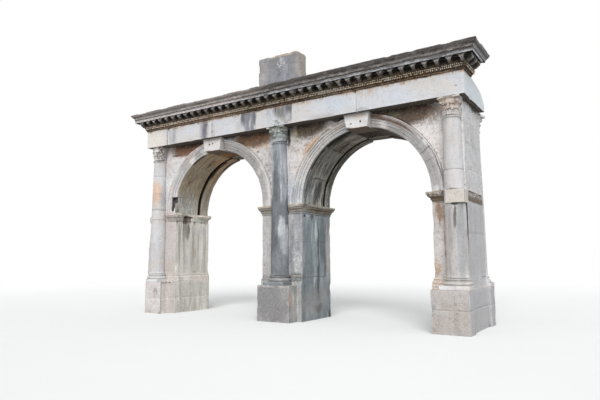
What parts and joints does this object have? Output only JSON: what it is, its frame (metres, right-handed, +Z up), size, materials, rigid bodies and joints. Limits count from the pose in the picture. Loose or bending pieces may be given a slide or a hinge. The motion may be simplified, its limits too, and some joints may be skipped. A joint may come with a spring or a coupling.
{
  "type": "twin-arched roman gate",
  "caption": "Weathered limestone gate in the form of a triumphal arch: arched passages side by side, half columns, plain frieze, bracketed cornice and an upright slab on top.",
  "frame": {"origin": "middle of the footprint at ground level, under the axis of the middle half column", "axes": "+X along the wall towards the wider arch, +Y through the passages from front to rear, +Z up"},
  "size_m": [12.48, 3.34, 8.31],
  "materials": {
    "stone_cream": "weathered cream limestone, worn smooth",
    "stone_pale": "pale limestone with blue-grey water stains",
    "stone_white": "white limestone, fine grained, with dark run marks",
    "stone_ochre": "limestone stained ochre and brown, eroded",
    "stone_stained": "cream limestone, brown and pitted near the top",
    "stone_brown": "dark grey-brown crusted limestone",
    "stone_grey": "grey limestone with lichen spots"
  },
  "bodies": {
    "root": {"pedestal_left": "stone_cream", "pedestal_right": "stone_cream", "base_course_left": "stone_cream", "base_course_right": "stone_cream", "pier_left": "stone_cream", "pier_right": "stone_cream", "impost_left": "stone_cream", "impost_right": "stone_cream", "column_base_left": "stone_cream", "column_base_right": "stone_cream", "column_shaft_left": "stone_cream", "column_shaft_right": "stone_cream", "repair_block": "stone_cream", "rear_column_bases": "stone_cream", "rear_column_shafts": "stone_cream", "wall_stub": "stone_cream", "pedestal_centre": "stone_pale", "base_course_centre": "stone_pale", "pier_centre": "stone_pale", "impost_centre": "stone_pale", "column_base_centre": "stone_pale", "column_shaft_centre": "stone_pale", "arch_ring_front_left": "stone_white", "arch_ring_front_right": "stone_white", "keystone_front_left": "stone_white", "keystone_front_right": "stone_white", "keystone_rear_left": "stone_white", "keystone_rear_right": "stone_white", "frieze_left_end": "stone_white", "frieze_left": "stone_white", "frieze_right": "stone_white", "frieze_right_end": "stone_white", "arch_ring_rear_left": "stone_ochre", "arch_ring_rear_right": "stone_ochre", "capital_left": "stone_ochre", "capital_centre": "stone_ochre", "capital_right": "stone_ochre", "rear_capitals": "stone_ochre", "spandrel_left": "stone_stained", "spandrel_centre": "stone_stained", "spandrel_right": "stone_stained", "bed_moulding": "stone_brown", "corona_with_brackets": "stone_brown", "cyma": "stone_grey", "top_slab": "stone_grey"}
  },
  "joints": []
}
